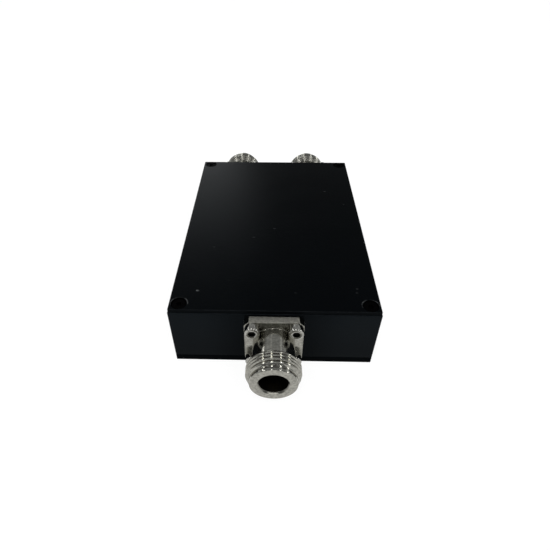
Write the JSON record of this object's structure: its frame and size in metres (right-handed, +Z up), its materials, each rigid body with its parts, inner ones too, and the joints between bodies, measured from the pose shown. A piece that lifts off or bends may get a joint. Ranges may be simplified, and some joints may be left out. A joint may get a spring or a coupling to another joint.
{
  "type": "rf power splitter",
  "caption": "Flat black rectangular radio-frequency power splitter with threaded coaxial sockets on its end faces; divides an input signal evenly between its outputs.",
  "frame": {"origin": "middle of the base plate's underside", "axes": "+Z up out of the cover, the input socket faces -Y, the two output sockets face +Y"},
  "size_m": [0.062, 0.1262, 0.0228],
  "materials": {
    "black_anodised": "black anodised, satin",
    "black_anodised_cover": "black anodised, satin, fine specks",
    "black_screw": "black oxide",
    "nickel_plated": "bright nickel plate",
    "bright_screw": "bright zinc plate",
    "fluoropolymer": "smooth white",
    "gilt_contact": "gold flash",
    "laminate": "glass laminate with green mask",
    "copper": "bare copper",
    "resistor_ceramic": "black overglaze",
    "tin": "bright tin"
  },
  "bodies": {
    "root": {"body": "black_anodised", "top_cover": "black_anodised_cover", "base_plate": "black_anodised", "cover_screws": "black_screw", "base_screws": "black_screw", "input_shell": "nickel_plated", "input_insulator": "fluoropolymer", "input_contact": "gilt_contact", "input_flange_screws": "bright_screw", "output_left_shell": "nickel_plated", "output_left_insulator": "fluoropolymer", "output_left_contact": "gilt_contact", "output_left_flange_screws": "bright_screw", "output_right_shell": "nickel_plated", "output_right_insulator": "fluoropolymer", "output_right_contact": "gilt_contact", "output_right_flange_screws": "bright_screw", "circuit_board": "laminate", "copper_trace": "copper", "resistor_chips": "resistor_ceramic", "resistor_ends": "tin", "solder_joints": "tin", "board_screws": "bright_screw"}
  },
  "joints": []
}
